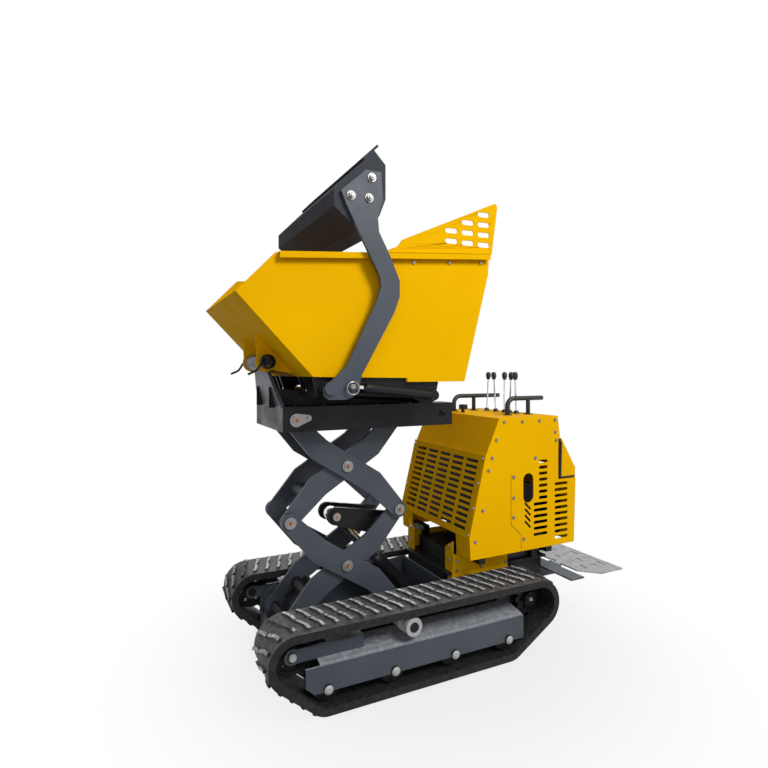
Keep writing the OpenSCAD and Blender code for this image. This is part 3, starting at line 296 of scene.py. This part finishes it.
dress("track_frame_left track_frame_right", [slate, lighter_top], 0.0016, sloping_top)
roller_stations, roller_z = (381, 141, -99, -339), 87
carrier_x, carrier_z = 74, 222.7
beam_face, idler_face, sprocket_face = 363, 321, 311
hub_foot, hub_rim, hub_end = 321, 353, 368
axle_head = dict(radius=14, high=4, sides=20, taper=0.6)
idler_head = dict(radius=14, high=5, sides=20, taper=0.8)
drive_head = dict(radius=9, high=5, sides=16, taper=0.7)
drive_bolt, drive_bolts, bolt_circle = dict(radius=5, high=4, slot=1), 6, 19
bm = bmesh.new()
for side in (1, -1):
    out = (0, side, 0)
    for x in roller_stations:
        stud(bm, (x, side * beam_face, roller_z), out, **axle_head)
    stud(bm, (wheel_x, side * idler_face, wheel_z), out, **idler_head)
    for k in range(drive_bolts):
        a = 2 * math.pi * k / drive_bolts
        x, z = -wheel_x + bolt_circle * math.cos(a), wheel_z + bolt_circle * math.sin(a)
        stud(bm, (x, side * sprocket_face, z), out, **drive_bolt)
    stud(bm, (-wheel_x, side * sprocket_face, wheel_z), out, **drive_head)
    stud(bm, (carrier_x, side * hub_foot, carrier_z), out, radius=24, high=32, sides=32)
    stud(bm, (carrier_x, side * hub_rim, carrier_z), out, radius=33, high=15, sides=36, taper=0.94)
    stud(bm, (carrier_x, side * hub_end, carrier_z), out, radius=17, high=1.5, sides=28, slot=1)
piece("axle_heads", bm, [pale, black], "chassis")

# Chassis, engine and hydraulics
# A welded slate pan lies between the tracks. Behind it the black bed carries the cast engine, the tank
# and the valve block, which show dark through the hood's slots.
iron, _ = material("engine iron", (0.022, 0.022, 0.024), 0.6)
dress("chassis_frame chassis_pan step_bracket", [slate])
dress("engine_bed hydraulic_tank valve_block", [black])
dress("engine", [iron])

# Scissor lift
# Slate arms cut from plate turn on bright pins; each pin's head has a slate collar and an orange grease
# cap. The lever that the lift cylinder pushes is black, like all cylinders; their rods are ground chrome.
chrome, _ = material("ground chrome", (0.75, 0.75, 0.77), 0.12, metal=1.0)
orange, _ = material("orange cap", (0.80, 0.17, 0.01), 0.4)


def lever_shade_and_foot_pin(c, n):
    """2: the black lever and, as painted shade, the cross tubes between the arms; 1: the foot pin's ends."""
    return 2 if abs(c.y) < 0.068 else math.hypot(c.x - station(435), c.z - 0.192) < 0.0145


def arm_pin(c, n):
    """The heads of the pins outside the arms."""
    return abs(c.y) > 0.1192


def barrel_pin(c, n):
    """The ends of the pins that hold the barrels."""
    return abs(n.y) > 0.9 and (abs(c.y) > 0.18 or 0.048 < abs(c.y) < 0.06)


# The cross tubes between the lower inner arms take the black as painted shade.
dress("lower_inner_arms", [slate, zinc, black], which=lever_shade_and_foot_pin)
dress("lower_outer_arms upper_outer_arms upper_inner_arms", [slate, zinc], which=arm_pin)
dress("lift_barrel tip_barrels", [black, zinc], which=barrel_pin)
dress("shovel_barrels", [black])
dress("lift_rod tip_rods shovel_rods", [chrome])
arm_face, pin_face, nipple_face = 119, 128, 131
collar = dict(radius=23, high=3.5, sides=28, taper=0.95, slot=2)
cap_seat = dict(radius=6.5, high=3, sides=16, taper=0.8)
grease_cap = dict(radius=4.5, high=4, sides=12, taper=0.6, slot=1)
for body, pins in (("lower_outer", [(218, 376)]),
                   ("upper_outer", [(218, 744), (1, 560)]),
                   ("upper_inner", [(435, 560)])):
    bm = bmesh.new()
    for x, z in pins:
        for side in (1, -1):
            stud(bm, (x, side * arm_face, z), (0, side, 0), **collar)
            stud(bm, (x, side * pin_face, z), (0, side, 0), **cap_seat)
            stud(bm, (x, side * nipple_face, z), (0, side, 0), **grease_cap)
    piece("grease_caps_" + body, bm, [black, orange, slate], body)
lever_x, lever_z, lever_face, lever_cap = 238, 545, 63, 4
bm = bmesh.new()
for side in (1, -1):
    out = (0, side, 0)
    stud(bm, (lever_x, side * lever_face, lever_z), out, radius=17, high=lever_cap, sides=24, taper=0.9)
    stud(bm, (lever_x, side * (lever_face + lever_cap), lever_z), out, radius=5, high=4, sides=12,
         taper=0.6, slot=1)
piece("lever_pin_caps", bm, [zinc, orange], "lower_inner")

# Deck
# Box rails, painted almost black as the skip's shade, with a slate plate up to the tipping hinge and two
# webs inside, painted dark as shade. A bolted keeper plate holds each upper pin; a coil spring with a bent
# leg sits on each end of the hinge.
# Slate darkened almost to black: painted shade under the skip, on the deck's rails and webs and the tip
# frame.
painted_shade, grain = material("dark slate paint", (0.008, 0.008, 0.010), 0.4, spec=0.2)
link(grain.noise(16.0).between(0.3, 0.7, 0.32, 0.5), "Roughness")


def front_plate_and_pins(c, n):
    """2 on the pins' heads outside the rails, 1 on the leaning front plate."""
    return 2 if abs(c.y) > 0.1901 else c.z > 0.978 and c.x > station(440)


def slab(bm, outline, shift):
    """Adds a flat plate: a face with an outline in space, extruded by a shift in millimetres."""
    face = bm.faces.new([bm.verts.new(corner) for corner in outline])
    made = bmesh.ops.extrude_face_region(bm, geom=[face])["geom"]
    far = [v for v in made if isinstance(v, bmesh.types.BMVert)]
    bmesh.ops.translate(bm, verts=far, vec=Vector(shift) / 1000)


dress("deck_frame", [painted_shade, slate, zinc], 0.0014, front_plate_and_pins)
rail_face, keeper_face, keeper_t = 190, 189.5, 4.1
pin_x, pin_z, bolt_x, bolt_z = 435, 928, 392, 934
keeper = ((431, 905), (433, 951), (390, 945), (392, 923))
flange_y, flange_top, flange_bolts = 164, 974, range(430, -90, -104)
bm = bmesh.new()
for side in (1, -1):
    out = (0, side, 0)
    stud(bm, (pin_x, side * rail_face, pin_z), out, radius=23, high=4, sides=28)
    stud(bm, (bolt_x, side * rail_face, bolt_z), out, radius=11, high=4, sides=20)
    slab(bm, [at(x, side * keeper_face, z) for x, z in keeper], (0, side * keeper_t, 0))
    stud(bm, (bolt_x, side * (rail_face + 4), bolt_z), out, radius=7, high=5)
    stud(bm, (pin_x, side * (rail_face + 8), pin_z), out, radius=7, high=4, sides=14, taper=0.6, slot=1)
    for x in flange_bolts:
        stud(bm, (x, side * flange_y, flange_top), (0, 0, 1), radius=7, high=5, slot=2)
piece("deck_keepers", bm, [zinc, orange, black], "deck")
web, web_y, web_t = ((-60, 967), (505, 967), (505, 1040), (420, 1028), (-30, 1024), (-60, 1000)), 88, 6
bm = bmesh.new()
for side in (1, -1):
    slab(bm, [at(x, side * web_y, z) for x, z in web], (0, side * web_t, 0))
piece("deck_webs", bm, [painted_shade], "deck")


def tube(bm, points, radius, sides, steps):
    """Adds a round bar along a smooth line through the points, given in millimetres."""
    p = [at(*q) for q in points]
    p = [2 * p[0] - p[1], *p, 2 * p[-1] - p[-2]]
    line = []
    for a, b, c, d in zip(p, p[1:], p[2:], p[3:]):
        bend, twist = 2 * a - 5 * b + 4 * c - d, 3 * b - a - 3 * c + d
        for t in (i / steps for i in range(steps)):
            line.append(b + ((c - a) * t + bend * t ** 2 + twist * t ** 3) / 2)
    line.append(p[-2])
    across, spots = (line[1] - line[0]).orthogonal(), []
    for i, centre in enumerate(line):
        along = (line[min(i + 1, len(line) - 1)] - line[max(i - 1, 0)]).normalized()
        across = (across - along * across.dot(along)).normalized()
        turn = Matrix((across.cross(along), across, along)).transposed()
        spots.append(Matrix.Translation(centre) @ turn.to_4x4())
    ring = bmesh.ops.create_circle(bm, cap_ends=True, segments=sides, radius=radius / 1000, matrix=spots[0])
    edges = list({edge for v in ring["verts"] for edge in v.link_edges})
    for before, after in zip(spots, spots[1:]):
        made = bmesh.ops.extrude_edge_only(bm, edges=edges)["geom"]
        edges = [e for e in made if isinstance(e, bmesh.types.BMEdge)]
        verts = [v for v in made if isinstance(v, bmesh.types.BMVert)]
        bmesh.ops.transform(bm, matrix=after @ before.inverted(), verts=verts)
    bmesh.ops.edgeloop_fill(bm, edges=edges)


hinge_x, hinge_z, hinge_end = 520, 1128, 120
coil_radius, coil_start, coil_pitch, coil_turns, wire_radius = 22, 124, 9, 3, 4
bm = bmesh.new()
for side in (1, -1):
    stud(bm, (hinge_x, side * hinge_end, hinge_z), (0, side, 0), radius=14, high=34, sides=24)
    wire = []
    for eighth in range(8 * coil_turns + 1):
        a = eighth * math.pi / 4
        x, z = hinge_x + coil_radius * math.cos(a), hinge_z + coil_radius * math.sin(a)
        wire.append((x, side * (coil_start + eighth * coil_pitch / 8), z))
    coil_end = side * (coil_start + coil_turns * coil_pitch)
    leg = [(560, coil_end, 1100), (590, coil_end, 1085)]
    tube(bm, wire + leg, wire_radius, sides=8, steps=3)
piece("hinge_springs", bm, [black], "skip")

# Skip
# A welded tub of sheet, painted machine yellow, with slotted guards at the rear and bolts along the
# folded rim. The frame below it, painted dark as the skip's shade, carries the pins of the shovel's arms.
yellow, grain = material("yellow paint", (0.86, 0.46, 0.001), 0.5, spec=0.008)
link(grain.noise(9.0).between(0.3, 0.7, 0.46, 0.58), "Roughness")
link(grain.noise(3.0, 5.0).between(0.3, 0.7).mix((0.84, 0.440, 0.001), (0.88, 0.475, 0.001)), "Base Color")


def hinge_pin(c, n):
    """The tipping hinge's pin, which is part of the tub."""
    return math.hypot(c.x - station(hinge_x), c.z - hinge_z / 1000) < 0.0165


def arm_pivot(c, n):
    """The ends of the pins that carry the shovel's arms."""
    return abs(c.y) > 0.3515


dress("skip_tub", [yellow, zinc], 0.0014, hinge_pin)
dress("skip_guard", [yellow])
dress("tip_frame", [painted_shade, slate], 0.0014, arm_pivot)
rim_front, rim_rear, rim_drop = Vector((538, 1468)), Vector((-287, 1537)), 30
skip_face = 306
bm = bmesh.new()
for side in (1, -1):
    for share in (0.60, 0.78, 0.95):
        x, z = rim_front.lerp(rim_rear, share)
        stud(bm, (x, side * skip_face, z - rim_drop), (0, side, 0), radius=6, high=5)
piece("rim_bolts", bm, [zinc], "skip")

# Shovel
# Slate arms cut from thick plate and a bucket of sheet in a dull slate, darkened as painted shade; three
# large bolts with washers hold each arm to the bucket. A lynch pin's ring keeps the cylinder's pin at
# each arm's foot.
# The bucket's dull slate is darker than the arms' slate: painted shade.
shade, grain = material("bucket paint", (0.054, 0.058, 0.068), 0.7, spec=0.04)
link(grain.noise(14.0).between(0.3, 0.7, 0.66, 0.76), "Roughness")
dress("shovel_arm_left shovel_arm_right", [slate], 0.0016)
dress("shovel_bucket", [shade], 0.0016)
bucket_bolts = ((225, 1737), (299, 1668), (235, 1668))
shovel_face, washer_t, nut_t = 348, 3, 8
foot_x, foot_face, ring_face, ring_z, ring_radius = 297, 358, 361, 1040, 21
bm = bmesh.new()
for side in (1, -1):
    out = (0, side, 0)
    for x, z in bucket_bolts:
        nut_face, end_face = shovel_face + washer_t, shovel_face + washer_t + nut_t
        stud(bm, (x, side * shovel_face, z), out, radius=15, high=washer_t, sides=24)
        stud(bm, (x, side * nut_face, z), out, radius=11, high=nut_t, taper=0.95)
        stud(bm, (x, side * end_face, z), out, radius=6, high=4, sides=16, taper=0.9)
    stud(bm, (foot_x, side * foot_face, ring_z + 6), out, radius=11, high=5, sides=24, taper=0.8)
    ring = []
    for twelfth in range(13):
        a = twelfth * math.pi / 6
        x, z = foot_x + ring_radius * math.sin(a), ring_z + ring_radius * math.cos(a)
        ring.append((x, side * ring_face, z))
    tube(bm, ring, 2.5, sides=8, steps=2)
piece("shovel_bolts", bm, [zinc], "shovel")

# Hood
# Folded yellow sheets, bolted along their edges, with flanges where the skirts meet hood and chassis.
# A dark radiator stands behind the grille, and a black seal runs round the rear cover's corner.
plastic, _ = material("black plastic", (0.012, 0.012, 0.013), 0.5)
dress("hood_left hood_right hood_shell hood_grille skirts rear_hatch", [yellow], 0.0014, sheet=True)
top_bolts = ((-389, 895), (-480, 893), (-570, 893), (-653, 893), (-655, 842), (-660, 808))
front_bolts = ((-350, 826), (-330, 757), (-312, 709), (-285, 556), (-250, 440))
seam_bolts = ((-548, 742), (-436, 673), (-436, 590), (-436, 512), (-488, 420))
hood_face, grille_face = 270, 264
grille_low, grille_high, grille_out = Vector((-217.8, 461)), Vector((-292.8, 766)), (0.971, 0, 0.239)
skirt_x, skirt_y, skirt_face = -204, 155, 181.3
washer = dict(radius=7.5, high=1.5, sides=18)
hood_bolt = dict(radius=5.5, high=4, sides=14, taper=0.8)
skirt_bolt = dict(radius=7, high=4, sides=14, taper=0.8)
grille_bolt = dict(radius=6, high=4, sides=14, taper=0.8)
bm = bmesh.new()
for side in (1, -1):
    out = (0, side, 0)
    for x, z in top_bolts + front_bolts + seam_bolts:
        stud(bm, (x, side * hood_face, z), out, **washer)
        stud(bm, (x, side * (hood_face + washer["high"]), z), out, **hood_bolt)
    for z in (400, 345, 290):
        stud(bm, (skirt_x, side * skirt_y, z), (1, 0, 0), **skirt_bolt)
    for x in (-225, -340, -465):
        for z in (345, 305, 268):
            stud(bm, (x, side * skirt_face, z), out, **skirt_bolt)
    for share in (0.03, 0.35, 0.66, 0.97):
        x, z = grille_low.lerp(grille_high, share)
        stud(bm, (x, side * grille_face, z), grille_out, **grille_bolt)
piece("hood_bolts", bm, [zinc], "chassis")
flange_t = 5
skirt_top = ((skirt_x, 322), (-478, 322), (-478, 371), (skirt_x, 371))
skirt_front = ((181, 246), (128, 262), (128, 392), (181, 424))
bm = bmesh.new()
for side in (1, -1):
    slab(bm, [at(x, side * (skirt_face - flange_t), z) for x, z in skirt_top], (0, side * flange_t, 0))
    slab(bm, [at(skirt_x - flange_t, side * y, z) for y, z in skirt_front], (flange_t, 0, 0))
piece("skirt_flanges", bm, [yellow], "chassis")
core = ((-252, -225, 470), (-252, 225, 470), (-318, 225, 750), (-318, -225, 750))
bm = bmesh.new()
slab(bm, [at(*corner) for corner in core], (-30, 0, -7))
piece("radiator", bm, [iron], "chassis")
seal_y, seal_radius = 268, 4
bm = bmesh.new()
for side in (1, -1):
    for line in ([(-686, 652), (-690, 800)], [(-688, 652), (-764, 652)]):
        tube(bm, [(x, side * seal_y, z) for x, z in line], seal_radius, sides=8, steps=2)
piece("cover_seal", bm, [plastic], "rear_cover")

# Console
# Bright steel lever stems with black knobs and rubber feet stand on the hood's top, between two bent
# black grab rails on round feet; a black knob sits beside them.
hood_top = 910


def grip_or_foot(c, n):
    """The black parts of a lever: its knob and its rubber foot."""
    return c.z > (hood_top + 147) / 1000 or c.z < (hood_top + 14.5) / 1000


dress("control_levers", [chrome, plastic], 0.0006, grip_or_foot)
dress("grab_rails console_knob", [plastic])
rail_y = 150
bm = bmesh.new()
for side, places in ((1, (-502, -614)), (-1, (-432, -544))):
    for x in places:
        stud(bm, (x, side * rail_y, hood_top), (0, 0, 1), radius=19, high=4, sides=24)
piece("rail_feet", bm, [plastic], "chassis")

# Operator's step
# A slotted plate of galvanised sheet with a faint spangle.
# It hangs on the slate bracket behind the tracks.
galvanised, grain = material("galvanised sheet", (0.36, 0.375, 0.385), 0.48, metal=0.55)
spangle = grain.noise(38.0, 3.0).between(0.35, 0.65)
link(spangle.mix((0.29, 0.30, 0.31), (0.40, 0.415, 0.425)), "Base Color")
dress("step_plate", [galvanised])
